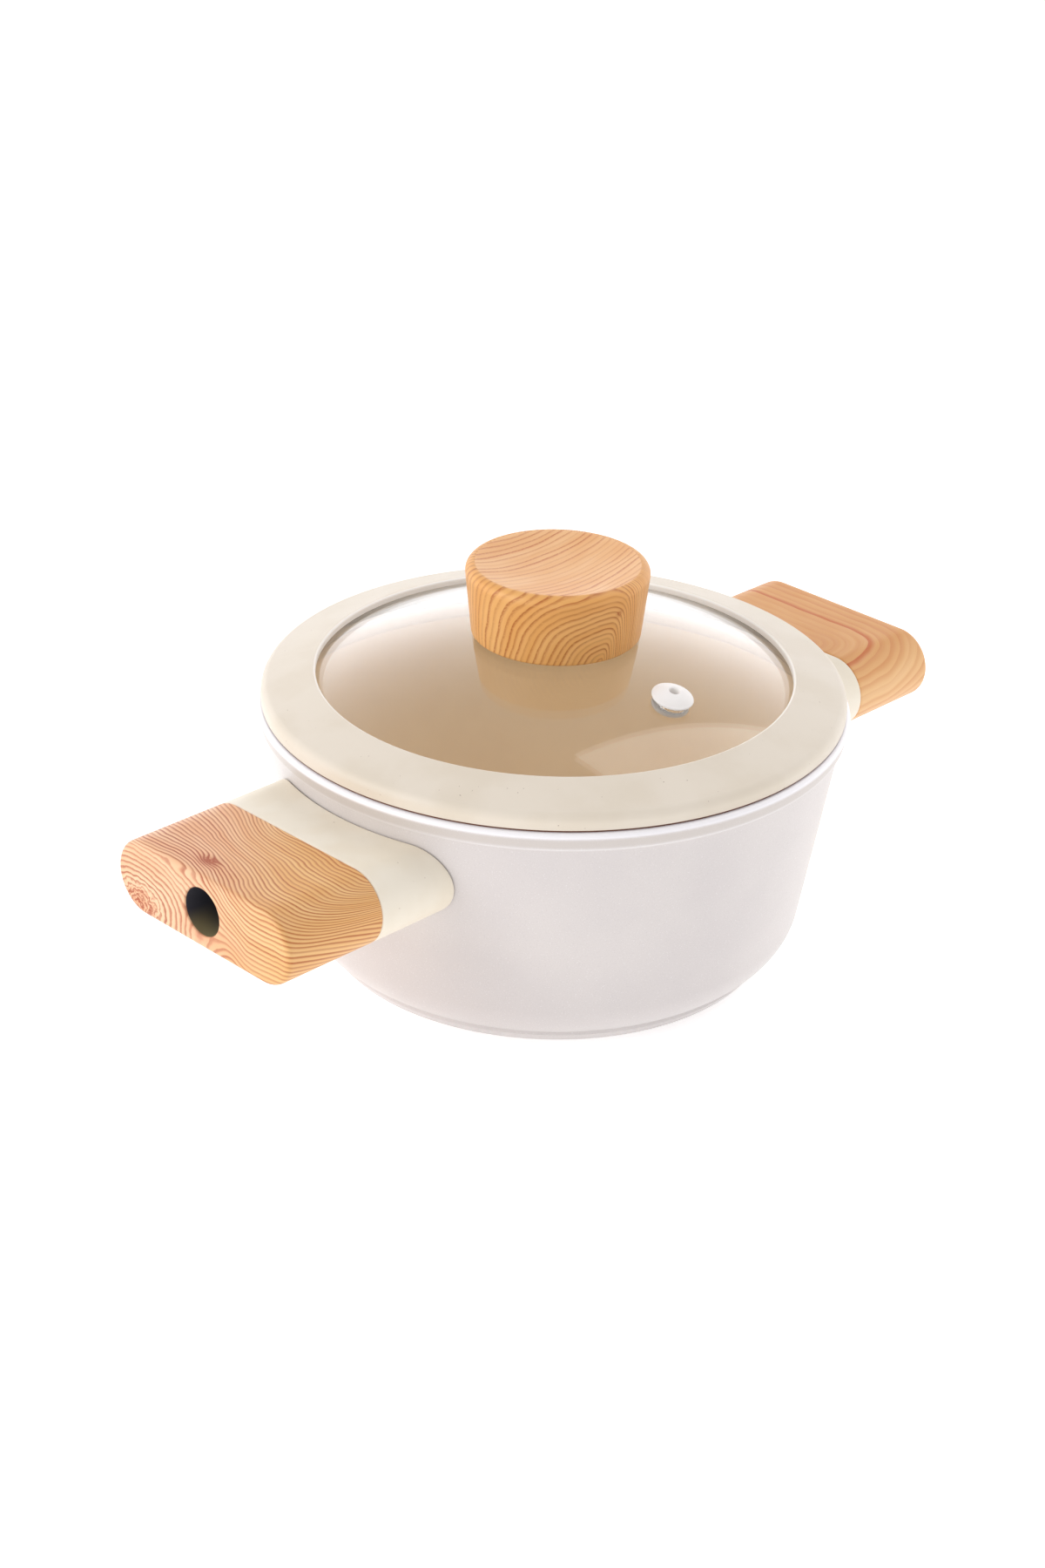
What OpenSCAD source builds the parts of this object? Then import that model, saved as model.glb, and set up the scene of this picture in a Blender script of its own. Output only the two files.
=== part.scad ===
// Two-handled saucepan with a silicone-rimmed glass lid.
// Origin: centre of the base on the hob. Handles lie along X, +Z is up.

/* [Pan] */
// Radius of the rim band, the widest part of the pan
pan_rim_r = 84; // [75:0.5:110]
// Height of the rim above the hob
pan_h = 74.4; // [62:0.2:100]
// Lean of the wall outward from vertical, in degrees
wall_lean = 9; // [4:0.5:12]
// Thickness of the cast wall
wall_t = 3.2; // [2.4:0.1:4]
// Thickness of the cast floor, base plate included
floor_t = 5; // [4:0.1:7]
// Outside radius of the bottom corner
corner_r = 15; // [10:0.5:18]
// Height of the band around the rim
band_h = 5.1; // [3:0.1:8]
// How far the band stands out from the wall
band_proud = 1.2; // [0.6:0.1:2]
// Height of the foot ring
foot_h = 2.6; // [2:0.1:3.4]
// Thickness of the steel base plate
plate_t = 1.2; // [0.6:0.1:1.6]

/* [Handles] */
// Width of a handle across
handle_w = 69.2; // [56:0.4:76]
// Thickness of a handle
handle_t = 21.7; // [18:0.1:26]
// Height of the handle's middle above the hob
handle_z = 53.5; // [48:0.5:60]
// Distance from the wall to the seam between neck and grip
neck_l = 18; // [14:0.5:26]
// Length of the wood-look grip
grip_l = 32.2; // [26:0.2:44]
// Rounding of the grip's end edge
grip_edge_r = 1.6; // [0.8:0.1:2.4]
// Radius of the screw access hole in the grip's end
access_r = 6.9; // [6.6:0.1:8]
// Depth of the access hole that stays free outside the screw head
access_depth = 18; // [12:0.5:21]
// Width of the cast lug that the neck slips over
lug_w = 34; // [24:1:38]
// Thickness of the cast lug
lug_t = 11; // [10:0.5:12]
// How far the lug stands out from the wall
lug_l = 11; // [9:0.5:12]

/* [Lid] */
// Outside radius of the silicone rim
lid_r = 82.8; // [74:0.4:109]
// Width of the silicone rim over the glass
rim_w = 15.4; // [12:0.2:18]
// Height of the silicone rim's inner lip above the pan's rim
rim_h = 8.8; // [8:0.1:11]
// Height of the silicone rim's rounded outer side
rim_side_h = 5.4; // [4.5:0.1:6]
// Depth of the silicone skirt that drops into the pan's mouth
skirt_h = 8; // [5:0.5:12]
// Thickness of the glass
glass_t = 3.6; // [3:0.1:4.4]
// Rise of the glass dome from the rim's inner lip to its middle
dome_h = 14.1; // [10:0.1:17]
// Distance of the steam vent from the lid's middle
vent_at = 44.5; // [34:0.5:54]
// Radius of the steam vent's head
vent_head_r = 5.9; // [5.4:0.1:7]
// Radius of the steam vent's hole
vent_hole_r = 1.4; // [1:0.1:2]

/* [Knob] */
// Radius of the knob at its top
knob_top_r = 25.8; // [22:0.2:30]
// Radius of the knob at its foot
knob_foot_r = 23.9; // [20:0.2:25]
// Height of the knob
knob_h = 21; // [17:0.2:26]
// Rounding of the knob's top edge
knob_edge_r = 2.6; // [1.4:0.1:3.4]
// Depth of the dish in the knob's top
dish_depth = 2.2; // [1:0.1:3]

/* [Fasteners] */
// Radius of the handle screws (M5)
handle_screw_r = 2.5; // [2:0.5:3]
// Radius of the knob screw (M4)
knob_screw_r = 2; // [1.5:0.5:2.5]
// Clearance of a screw in its thread or hole
screw_gap = 0.1; // [0.05:0.05:0.3]
// Clearance between moulded and cast faces that face each other
part_gap = 0.3; // [0.2:0.05:0.5]
// Clearance between the glass and its silicone groove
glass_gap = 0.3; // [0.25:0.05:0.5]

/* [Hidden] */
$fn = 96;

PEARL = [0.9, 0.88, 0.87];
CREAM = [0.91, 0.87, 0.79];
WOOD = [0.9, 0.68, 0.43];
STEEL = [0.72, 0.72, 0.74];
BRASS = [0.8, 0.65, 0.35];
GLASS = [0.8, 0.86, 0.84, 0.4];

bite = 0.5;             // overrun of a cut past the face it opens
arc_steps = 10;         // chords in a quarter of a drawn arc

// Pan: the wall's outer face is one cone, and the rest is offset from it
lean = tan(wall_lean);
wall_top_r = pan_rim_r - band_proud;
function wall_r(z) = wall_top_r - (pan_h - z) * lean;
wall_across = wall_t / cos(wall_lean);
function mouth_r(z) = wall_r(z) - wall_across;
base_lift = 1.3;                            // lowest point of the corner's curve above the hob
corner_z = base_lift + corner_r;
corner_x = wall_r(corner_z) - corner_r / cos(wall_lean);
foot_r = corner_x + corner_r * 0.54;
foot_bevel = 2;
inner_corner_r = max(corner_r - wall_t, 4);
inner_corner_z = floor_t + inner_corner_r;
inner_corner_x = mouth_r(inner_corner_z) - inner_corner_r / cos(wall_lean);
band_edge_r = 1.5;
band_heel_r = 0.4;
mouth_edge_r = 0.8;
plate_r = foot_r - foot_bevel - 6.4;
plate_hole_r = 2.2;
plate_rings = 3;
plate_ring_step = plate_r / (plate_rings + 0.6);

// Handles: a round-ended bar along X, built at the right and turned for the left
handle_end_r = handle_t / 2;
handle_flat = handle_w / 2 - handle_end_r;
wall_at_handle = wall_r(handle_z);
seam_x = wall_at_handle + neck_l;
grip_end_x = seam_x + grip_l;
seam_edge_r = 0.5;
lug_x = wall_at_handle + lug_l;
lug_sink = 8;                               // root drawn inside the wall, then cut away
lug_root_x = mouth_r(handle_z) - lug_sink;
head_r = 4.8;
head_h = 3;
washer_r = 5.8;
washer_t = 1;
seat_r = washer_r + part_gap;
head_top_x = grip_end_x - access_depth;
washer_x = head_top_x - head_h - washer_t;
insert_r = 4;
insert_l = lug_l - 1.5;
insert_x = lug_x - insert_l;
handle_screw_l = washer_x + washer_t - insert_x - 1.5;

// Lid: the glass is a shell between two spheres with one centre
rim_in_r = lid_r - rim_w;
rim_top_z = pan_h + rim_h;
lip_drop = 2;                               // height of the inner lip above the glass
glass_lip_z = rim_top_z - lip_drop;
dome_r = (pow(rim_in_r, 2) + pow(dome_h, 2)) / (2 * dome_h);
apex_z = glass_lip_z + dome_h;
dome_z = apex_z - dome_r;
function glass_z(r) = dome_z + sqrt(pow(dome_r, 2) - pow(r, 2));
function glass_under_z(r) = dome_z + sqrt(pow(dome_r - glass_t, 2) - pow(r, 2));
glass_r = rim_in_r + 6;
glass_hole_r = 5;
skirt_gap = 0.6;
skirt_t = 1.8;
seat_w = 2;                                 // width of the ring that the lid rests on
shadow_gap = 0.5;                           // slot left between rim and lid outside the seat
rim_edge_r = 3;
lip_r = 0.7;
rim_under_w = 4.4;                          // silicone under the glass, beyond the groove

// Knob
knob_rim_t = 3;
knob_hollow_r = knob_foot_r - knob_rim_t;
knob_z = glass_z(knob_hollow_r) + part_gap;
knob_chamfer = 0.7;
knob_hollow_h = 4.5;
knob_boss_r = 8;
dish_r = knob_top_r - knob_edge_r;
dish_ball_r = (pow(dish_r, 2) + pow(dish_depth, 2)) / (2 * dish_depth);
seal_t = 1;
seal_r = 7.6;
seal_top_z = glass_z(glass_hole_r) + seal_t;
seal_under_z = glass_under_z(seal_r) - seal_t;
knob_washer_r = 7;
knob_washer_t = 1;
knob_head_r = 4;
knob_head_h = 2.6;
knob_insert_r = 3.6;
knob_insert_l = 9;
knob_screw_top_z = seal_top_z + knob_insert_l - 2;

// Steam vent, drawn about the glass surface and tilted with the dome
vent_tilt = asin(vent_at / dome_r);
vent_stem_r = 4;
vent_flange_r = 5.2;
vent_lip_t = 0.9;
vent_dome_h = 1.9;

// Points of an arc about (x, y), from angle a to angle b, both ends included
function arc(x, y, r, a, b) =
    let (n = max(2, ceil(abs(b - a) / 90 * arc_steps)))
    [for (i = [0:n]) let (t = a + (b - a) * i / n) [x + r * cos(t), y + r * sin(t)]];

// ---- Pan ----

// Half section of the solid casting, before its inside is taken out
module outer_section() {
    heel_z = pan_h - band_h;
    heel_out = wall_r(heel_z) + band_proud;
    foot_meet_z = corner_z - sqrt(pow(corner_r, 2) - pow(foot_r - corner_x, 2));
    foot_angle = -acos((foot_r - corner_x) / corner_r);
    polygon(concat(
        [[0, 0], [foot_r - foot_bevel, 0], [foot_r, foot_h], [foot_r, foot_meet_z]],
        arc(corner_x, corner_z, corner_r, foot_angle, -wall_lean),
        [[wall_r(heel_z), heel_z], [heel_out - band_heel_r, heel_z],
         [heel_out, heel_z + band_heel_r]],
        arc(pan_rim_r - band_edge_r, pan_h - band_edge_r, band_edge_r, -wall_lean, 90),
        [[0, pan_h]]));
}

// Half section of the space inside, with the mouth's rounded edge
module inner_section() {
    polygon(concat(
        [[0, pan_h + bite], [mouth_r(pan_h) + mouth_edge_r, pan_h + bite]],
        arc(mouth_r(pan_h) + mouth_edge_r, pan_h - mouth_edge_r, mouth_edge_r, 90, 180),
        arc(inner_corner_x, inner_corner_z, inner_corner_r, -wall_lean, -90),
        [[0, floor_t]]));
}

// Cast lug with round ends, at the right side
module lug(grow = 0, reach = 0) {
    r = lug_t / 2 + grow;
    translate([lug_root_x, 0, handle_z]) rotate([0, 90, 0])
        linear_extrude(lug_x + reach - lug_root_x) bar_outline(lug_w / 2 + grow, r);
}

// Round-ended bar section: half width along Y, end radius r, drawn for a turn onto X
module bar_outline(half_w, r) {
    square([2 * r, 2 * (half_w - r)], center = true);
    for (side = [-1, 1]) translate([0, side * (half_w - r)]) circle(r);
}

// The base plate's holes, one in the middle and rings of them round it
module plate_holes(h) {
    translate([0, 0, -bite]) cylinder(r = plate_hole_r, h = h + bite);
    for (ring = [1:plate_rings], i = [1:6 * ring])
        rotate(360 * i / (6 * ring)) translate([ring * plate_ring_step, 0, -bite])
            cylinder(r = plate_hole_r, h = h + bite);
}

module plate_disc(h) {
    difference() {
        cylinder(r = plate_r, h = h);
        plate_holes(h + bite);
    }
}

module pan_body() {
    color(PEARL) difference() {
        union() {
            rotate_extrude() outer_section();
            for (turn = [0, 180]) rotate(turn) lug();
        }
        rotate_extrude() inner_section();
        plate_disc(plate_t);
        for (turn = [0, 180]) rotate(turn) translate([insert_x, 0, handle_z])
            rotate([0, 90, 0]) cylinder(r = insert_r, h = insert_l + bite);
    }
}

module base_plate() {
    color(STEEL) plate_disc(plate_t);
}

// ---- Handles ----

// Round-ended bar from x0 to x1 whose end edges are rounded by r0 and r1
module rounded_bar(x0, x1, r0, r1) {
    outline = concat(
        [[0, x0]], arc(handle_end_r - r0, x0 + r0, r0, -90, 0),
        arc(handle_end_r - r1, x1 - r1, r1, 0, 90), [[0, x1]]);
    mirrored = [for (i = [len(outline) - 2:-1:1]) [-outline[i][0], outline[i][1]]];
    translate([0, 0, handle_z]) rotate([0, 90, 0]) {
        for (side = [-1, 1]) translate([0, side * handle_flat, 0])
            rotate_extrude() polygon(outline);
        translate([0, handle_flat, 0]) rotate([90, 0, 0])
            linear_extrude(2 * handle_flat) polygon(concat(outline, mirrored));
    }
}

// Rod along X at the handle's height
module rod(x0, x1, r) {
    translate([x0, 0, handle_z]) rotate([0, 90, 0]) cylinder(r = r, h = x1 - x0);
}

module handle_neck() {
    color(CREAM) difference() {
        rounded_bar(wall_at_handle / 2, seam_x, seam_edge_r, seam_edge_r);
        cylinder(r1 = wall_r(0) + part_gap, r2 = wall_r(pan_h) + part_gap, h = pan_h);
        lug(part_gap, part_gap);
        rod(lug_x, seam_x + bite, handle_screw_r + screw_gap);
    }
}

module handle_grip() {
    color(WOOD) difference() {
        rounded_bar(seam_x, grip_end_x, seam_edge_r, grip_edge_r);
        rod(seam_x - bite, washer_x + bite, handle_screw_r + screw_gap);
        rod(washer_x, head_top_x, seat_r);
        rod(head_top_x, grip_end_x + bite, access_r);
    }
}

module handle_washer() {
    color(STEEL) difference() {
        rod(washer_x, washer_x + washer_t, washer_r);
        rod(washer_x - bite, head_top_x, handle_screw_r + screw_gap);
    }
}

// Cross-recessed pan head on a straight shank
module handle_screw() {
    slot_w = 1.1;
    slot_l = 5;
    slot_depth = 1.6;
    color(STEEL) difference() {
        union() {
            translate([head_top_x - head_h, 0, handle_z]) rotate([0, 90, 0])
                rotate_extrude() polygon(concat([[0, 0], [head_r, 0]],
                    arc(head_r - 1.4, head_h - 1.4, 1.4, 0, 90), [[0, head_h]]));
            rod(washer_x + washer_t - handle_screw_l, head_top_x - head_h + bite, handle_screw_r);
        }
        for (turn = [0, 90]) translate([head_top_x, 0, handle_z]) rotate([turn, 0, 0])
            cube([2 * slot_depth, slot_w, slot_l], center = true);
    }
}

module handle_insert() {
    color(BRASS) difference() {
        rod(insert_x, lug_x, insert_r);
        rod(insert_x - bite, lug_x + bite, handle_screw_r + screw_gap);
    }
}

// ---- Lid ----

// Half section of the silicone rim: seat, rounded side, sloping top, lip, groove, skirt
module rim_section() {
    seat_in_r = mouth_r(pan_h) - skirt_gap;
    seat_out_r = mouth_r(pan_h) + mouth_edge_r + seat_w;
    side_z = pan_h + shadow_gap;
    shoulder_r = lid_r - rim_edge_r;
    shoulder_z = pan_h + rim_side_h - rim_edge_r;
    shoulder_a = 66;
    skirt_z = pan_h - skirt_h;
    skirt_out_r = mouth_r(skirt_z) - skirt_gap;
    under_r = glass_r - rim_under_w;
    under_t = 1.6;
    difference() {
        polygon(concat(
            [[under_r, glass_under_z(under_r) - under_t],
             [skirt_out_r - skirt_t, skirt_z + 1], [skirt_out_r - skirt_t / 2, skirt_z],
             [skirt_out_r, skirt_z + 1], [seat_in_r, pan_h],
             [seat_out_r, pan_h], [seat_out_r, side_z], [lid_r, side_z]],
            arc(shoulder_r, shoulder_z, rim_edge_r, 0, shoulder_a),
            arc(rim_in_r + lip_r, rim_top_z - lip_r, lip_r, 80, 180),
            [[rim_in_r, glass_lip_z - glass_t / 2], [under_r, glass_under_z(under_r) + 0.1]]));
        glass_band(glass_gap);
    }
}

// The outer part of the glass's half section, grown by gap
module glass_band(gap) {
    intersection() {
        translate([0, dome_z]) difference() {
            circle(dome_r + gap, $fn = 720);
            circle(dome_r - glass_t - gap, $fn = 720);
        }
        translate([glass_r - 12, 0]) square([12 + gap, apex_z + glass_t]);
    }
}

module lid_rim() {
    color(CREAM) rotate_extrude() rim_section();
}

module lid_glass() {
    color(GLASS) difference() {
        intersection() {
            translate([0, 0, dome_z]) difference() {
                sphere(dome_r, $fn = 360);
                sphere(dome_r - glass_t, $fn = 360);
            }
            cylinder(r = glass_r, h = apex_z + glass_t);
        }
        cylinder(r = glass_hole_r, h = apex_z + glass_t);
        vent_place() translate([0, 0, -2 * glass_t])
            cylinder(r = vent_stem_r + screw_gap, h = 4 * glass_t);
    }
}

module lid_knob() {
    side_top_z = knob_h - knob_edge_r;
    lean_a = atan((knob_top_r - knob_foot_r) / side_top_z);
    color(WOOD) translate([0, 0, knob_z]) difference() {
        rotate_extrude() polygon(concat(
            [[0, 0], [knob_foot_r - knob_chamfer, 0], [knob_foot_r, knob_chamfer]],
            arc(knob_top_r - knob_edge_r, side_top_z, knob_edge_r, -lean_a, 90),
            [[0, knob_h]]));
        translate([0, 0, knob_h - dish_depth + dish_ball_r]) sphere(dish_ball_r, $fn = 180);
        translate([0, 0, -bite]) difference() {
            cylinder(r = knob_hollow_r, h = knob_hollow_h + bite);
            cylinder(r = knob_boss_r, h = knob_hollow_h + bite);
        }
        translate([0, 0, -bite])
            cylinder(r = knob_boss_r + bite, h = seal_top_z - knob_z + bite);
        translate([0, 0, -bite])
            cylinder(r = knob_insert_r, h = seal_top_z - knob_z + knob_insert_l + bite);
    }
}

// Washer about Z from z up
module ring(z, h, out_r, in_r) {
    translate([0, 0, z]) difference() {
        cylinder(r = out_r, h = h);
        translate([0, 0, -bite]) cylinder(r = in_r, h = h + 2 * bite);
    }
}

module knob_insert() {
    color(BRASS) ring(seal_top_z, knob_insert_l, knob_insert_r, knob_screw_r + screw_gap);
}

module knob_upper_seal() {
    color(CREAM) ring(seal_top_z - seal_t, seal_t, seal_r, knob_screw_r + screw_gap);
}

// Flanged bush: its spigot centres the screw in the glass's hole
module knob_lower_seal() {
    spigot_r = glass_hole_r - part_gap;
    spigot_h = seal_top_z - seal_t - seal_under_z;
    color(CREAM) difference() {
        union() {
            translate([0, 0, seal_under_z]) cylinder(r = seal_r, h = seal_t);
            translate([0, 0, seal_under_z]) cylinder(r = spigot_r, h = spigot_h);
        }
        translate([0, 0, seal_under_z - bite])
            cylinder(r = knob_screw_r + screw_gap, h = spigot_h + 2 * bite);
    }
}

module knob_washer() {
    color(STEEL) ring(seal_under_z - knob_washer_t, knob_washer_t, knob_washer_r,
        knob_screw_r + screw_gap);
}

module knob_screw() {
    head_z = seal_under_z - knob_washer_t;
    slot_w = 0.9;
    slot_l = 4.2;
    slot_depth = 1.4;
    color(STEEL) difference() {
        union() {
            translate([0, 0, head_z]) mirror([0, 0, 1]) rotate_extrude()
                polygon(concat([[0, 0], [knob_head_r, 0]],
                    arc(knob_head_r - 1.2, knob_head_h - 1.2, 1.2, 0, 90),
                    [[0, knob_head_h]]));
            translate([0, 0, head_z - bite])
                cylinder(r = knob_screw_r, h = knob_screw_top_z - head_z + bite);
        }
        for (turn = [0, 90]) translate([0, 0, head_z - knob_head_h]) rotate(turn)
            cube([slot_w, slot_l, 2 * slot_depth], center = true);
    }
}

// Stands its children on the glass at the vent, square to the dome
module vent_place() {
    translate([0, 0, dome_z]) rotate([vent_tilt, 0, 0]) translate([0, 0, dome_r]) children();
}

// Mushroom grommet: domed head, stem through the glass, flange beneath
module steam_vent() {
    head_ball_r = (pow(vent_head_r, 2) + pow(vent_dome_h, 2)) / (2 * vent_dome_h);
    dome_a = asin((vent_head_r - 0.4) / head_ball_r);
    flange_z = -glass_t - part_gap;
    color("white") vent_place() difference() {
        rotate_extrude() polygon(concat(
            [[0, flange_z - 1.2], [vent_flange_r - 0.5, flange_z - 1.2],
             [vent_flange_r, flange_z - 0.6], [vent_flange_r, flange_z],
             [vent_stem_r, flange_z], [vent_stem_r, part_gap],
             [vent_head_r - 0.4, part_gap], [vent_head_r, part_gap + 0.4],
             [vent_head_r, vent_lip_t]],
            arc(0, vent_lip_t + vent_dome_h - head_ball_r, head_ball_r, 90 - dome_a, 90)));
        translate([0, 0, -3 * glass_t]) cylinder(r = vent_hole_r, h = 6 * glass_t);
    }
}

pan_body();
base_plate();
rotate(180) handle_neck();  // left_handle_neck
rotate(180) handle_grip();  // left_handle_grip
rotate(180) handle_screw();  // left_handle_screw
rotate(180) handle_washer();  // left_handle_washer
rotate(180) handle_insert();  // left_handle_insert
handle_neck();  // right_handle_neck
handle_grip();  // right_handle_grip
handle_screw();  // right_handle_screw
handle_washer();  // right_handle_washer
handle_insert();  // right_handle_insert
lid_rim();
lid_glass();
lid_knob();
knob_insert();
knob_screw();
knob_washer();
knob_upper_seal();
knob_lower_seal();
steam_vent();
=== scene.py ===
"""Saucepan with a silicone-rimmed glass lid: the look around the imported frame."""
import math

import bmesh
import bpy
from mathutils import Matrix, Vector


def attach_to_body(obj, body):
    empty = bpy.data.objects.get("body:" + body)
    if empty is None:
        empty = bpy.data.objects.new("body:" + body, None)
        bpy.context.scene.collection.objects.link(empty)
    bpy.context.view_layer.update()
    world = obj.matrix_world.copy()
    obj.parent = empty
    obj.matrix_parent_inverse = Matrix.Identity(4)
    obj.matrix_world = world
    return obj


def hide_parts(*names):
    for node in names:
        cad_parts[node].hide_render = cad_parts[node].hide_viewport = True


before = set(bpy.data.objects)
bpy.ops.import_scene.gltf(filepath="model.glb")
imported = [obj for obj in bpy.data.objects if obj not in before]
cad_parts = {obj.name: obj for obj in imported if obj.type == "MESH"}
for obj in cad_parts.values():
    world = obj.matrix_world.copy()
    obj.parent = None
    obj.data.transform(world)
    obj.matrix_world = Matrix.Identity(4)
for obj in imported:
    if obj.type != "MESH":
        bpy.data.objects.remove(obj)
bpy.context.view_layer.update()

MM = 0.001

# ---- Sizes shared with the frame, in millimetres ----

PAN_H, RIM_R, LEAN_DEG = 74.4, 84.0, 9
LEAN = math.radians(LEAN_DEG)
WALL_T, BAND_H, BAND_PROUD = 3.2, 5.1, 1.2
FLOOR_T, FOOT_H, FOOT_BEVEL = 5.0, 2.6, 2.0
CORNER_R, BASE_LIFT, FOOT_SHARE = 15.0, 1.3, 0.54
WALL_ACROSS = WALL_T / math.cos(LEAN)
PLATE_T, PLATE_INSET, PLATE_HOLE_R, PLATE_RINGS = 1.2, 6.4, 2.2, 3

HANDLE_Z, HANDLE_W, HANDLE_T = 53.5, 69.2, 21.7
NECK_L, GRIP_L = 18.0, 32.2
ACCESS_R, ACCESS_DEPTH = 6.9, 18.0

LID_R, RIM_W, RIM_UP, RIM_SIDE = 82.8, 15.4, 8.8, 5.4
GLASS_T, GLASS_HELD, DOME_H, LIP_DROP = 3.6, 6.0, 14.1, 2.0
VENT_AT, VENT_HEAD_R, VENT_HOLE_R = 44.5, 5.9, 1.4
KNOB_TOP_R, KNOB_FOOT_R, KNOB_H = 25.8, 23.9, 21.0
KNOB_EDGE, DISH_DEPTH, KNOB_WALL, KNOB_GAP = 2.6, 2.2, 3.0, 0.3


def wall_r(z):
    """Radius of the pan's outer wall at height z."""
    return RIM_R - BAND_PROUD - (PAN_H - z) * math.tan(LEAN)


CORNER_Z = BASE_LIFT + CORNER_R
CORNER_X = wall_r(CORNER_Z) - CORNER_R / math.cos(LEAN)
FOOT_R = CORNER_X + CORNER_R * FOOT_SHARE
PLATE_R = FOOT_R - FOOT_BEVEL - PLATE_INSET
END_R = HANDLE_T / 2
HALF_FLAT = HANDLE_W / 2 - END_R
SEAM_X = wall_r(HANDLE_Z) + NECK_L
END_X = SEAM_X + GRIP_L
GLASS_IN_R = LID_R - RIM_W
LIP_Z = PAN_H + RIM_UP
DOME_R = (GLASS_IN_R ** 2 + DOME_H ** 2) / (2 * DOME_H)
DOME_Z = LIP_Z - LIP_DROP + DOME_H - DOME_R
GLASS_R = GLASS_IN_R + GLASS_HELD
HOLLOW_R = KNOB_FOOT_R - KNOB_WALL
KNOB_Z = DOME_Z + math.sqrt(DOME_R ** 2 - HOLLOW_R ** 2) + KNOB_GAP


# ---- Mesh helpers: points in millimetres, meshes in metres ----

def arc(cx, cy, r, a, b, n):
    """Points of an arc from angle a to b in degrees."""
    return [(cx + r * math.cos(math.radians(a + (b - a) * i / n)),
             cy + r * math.sin(math.radians(a + (b - a) * i / n))) for i in range(n + 1)]


def supported(points, reach=0.35):
    """Adds points close to each end of a long straight run, so that shading stays crisp there."""
    out = []
    for (ax, ay), (bx, by) in zip(points, points[1:]):
        out.append((ax, ay))
        length = math.hypot(bx - ax, by - ay)
        if length > 4 * reach:
            share = reach / length
            out.append((ax + (bx - ax) * share, ay + (by - ay) * share))
            out.append((bx - (bx - ax) * share, by - (by - ay) * share))
    out.append(points[-1])
    return out


def mesh_from_rings(name, rings, closed=False, slots=None, materials=()):
    """Skins rings of equal length. slots gives the material index of each band of faces."""
    n = len(rings[0])
    verts = [tuple(c * MM for c in p) for ring in rings for p in ring]
    faces, face_slots = [], []
    count = len(rings) if closed else len(rings) - 1
    for k in range(count):
        a, b = k * n, ((k + 1) % len(rings)) * n
        for i in range(n):
            j = (i + 1) % n
            faces.append((a + i, a + j, b + j, b + i))
            face_slots.append(slots[k] if slots else 0)
    mesh = bpy.data.meshes.new(name)
    mesh.from_pydata(verts, [], faces)
    for material in materials:
        mesh.materials.append(material)
    mesh.polygons.foreach_set("material_index", face_slots)
    return finish_mesh(name, mesh)


def finish_mesh(name, mesh, angle=32):
    """Welds, turns faces outward, and smooths all but the sharp edges."""
    bm = bmesh.new()
    bm.from_mesh(mesh)
    bmesh.ops.remove_doubles(bm, verts=bm.verts, dist=1e-6)
    bmesh.ops.dissolve_degenerate(bm, edges=bm.edges, dist=1e-7)
    bmesh.ops.recalc_face_normals(bm, faces=bm.faces)
    bm.to_mesh(mesh)
    bm.free()
    mesh.polygons.foreach_set("use_smooth", [True] * len(mesh.polygons))
    mesh.set_sharp_from_angle(angle=math.radians(angle))
    obj = bpy.data.objects.new(name, mesh)
    bpy.context.scene.collection.objects.link(obj)
    return obj


def lathe(name, profile, steps, slots=None, materials=(), closed=True):
    """Turns a profile of (radius, height) about Z."""
    rings = []
    for r, z in profile:
        r = max(r, 0.0)
        rings.append([(r * math.cos(2 * math.pi * i / steps), r * math.sin(2 * math.pi * i / steps), z)
                      for i in range(steps)])
    return mesh_from_rings(name, rings, closed, slots, materials)


def stadium(half_flat, r, n_arc=28, n_flat=20):
    """Round-ended outline in (y, z) with as many points for every size."""
    out = []
    for i in range(n_flat):
        out.append((-half_flat + 2 * half_flat * i / n_flat, r))
    for i in range(n_arc):
        t = math.pi / 2 - math.pi * i / n_arc
        out.append((half_flat + r * math.cos(t), r * math.sin(t)))
    for i in range(n_flat):
        out.append((half_flat - 2 * half_flat * i / n_flat, -r))
    for i in range(n_arc):
        t = -math.pi / 2 - math.pi * i / n_arc
        out.append((-half_flat + r * math.cos(t), r * math.sin(t)))
    return out


def circle_like(outline, r, n_half=10):
    """A circle whose points face the same way as the outline's; point n_half is at the top."""
    n = len(outline)
    length, walked = 0.0, [0.0]
    for i in range(n):
        (ay, az), (by, bz) = outline[i], outline[(i + 1) % n]
        length += math.hypot(by - ay, bz - az)
        walked.append(length)
    top_share = walked[n_half] / length
    return [(r * math.cos(math.pi / 2 + 2 * math.pi * (top_share - w / length)),
             r * math.sin(math.pi / 2 + 2 * math.pi * (top_share - w / length))) for w in walked[:n]]


def attach(obj, body, slot, *nodes):
    """Puts a piece on its body and hides the frame nodes that it stands for."""
    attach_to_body(obj, body)
    if nodes:
        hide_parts(*nodes)
    return obj


# ---- Node helpers ----

class Num:
    """A socket that can be used in arithmetic; each step becomes a Math node."""

    def __init__(self, graph, socket):
        self.graph, self.socket = graph, socket

    def __add__(self, other): return self.graph.calc("ADD", self, other)
    def __sub__(self, other): return self.graph.calc("SUBTRACT", self, other)
    def __rsub__(self, other): return self.graph.calc("SUBTRACT", other, self)
    def __mul__(self, other): return self.graph.calc("MULTIPLY", self, other)
    def __rmul__(self, other): return self.graph.calc("MULTIPLY", other, self)
    def __truediv__(self, other): return self.graph.calc("DIVIDE", self, other)
    def __pow__(self, other): return self.graph.calc("POWER", self, other)
    def __neg__(self): return self.graph.calc("MULTIPLY", self, -1.0)


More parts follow.
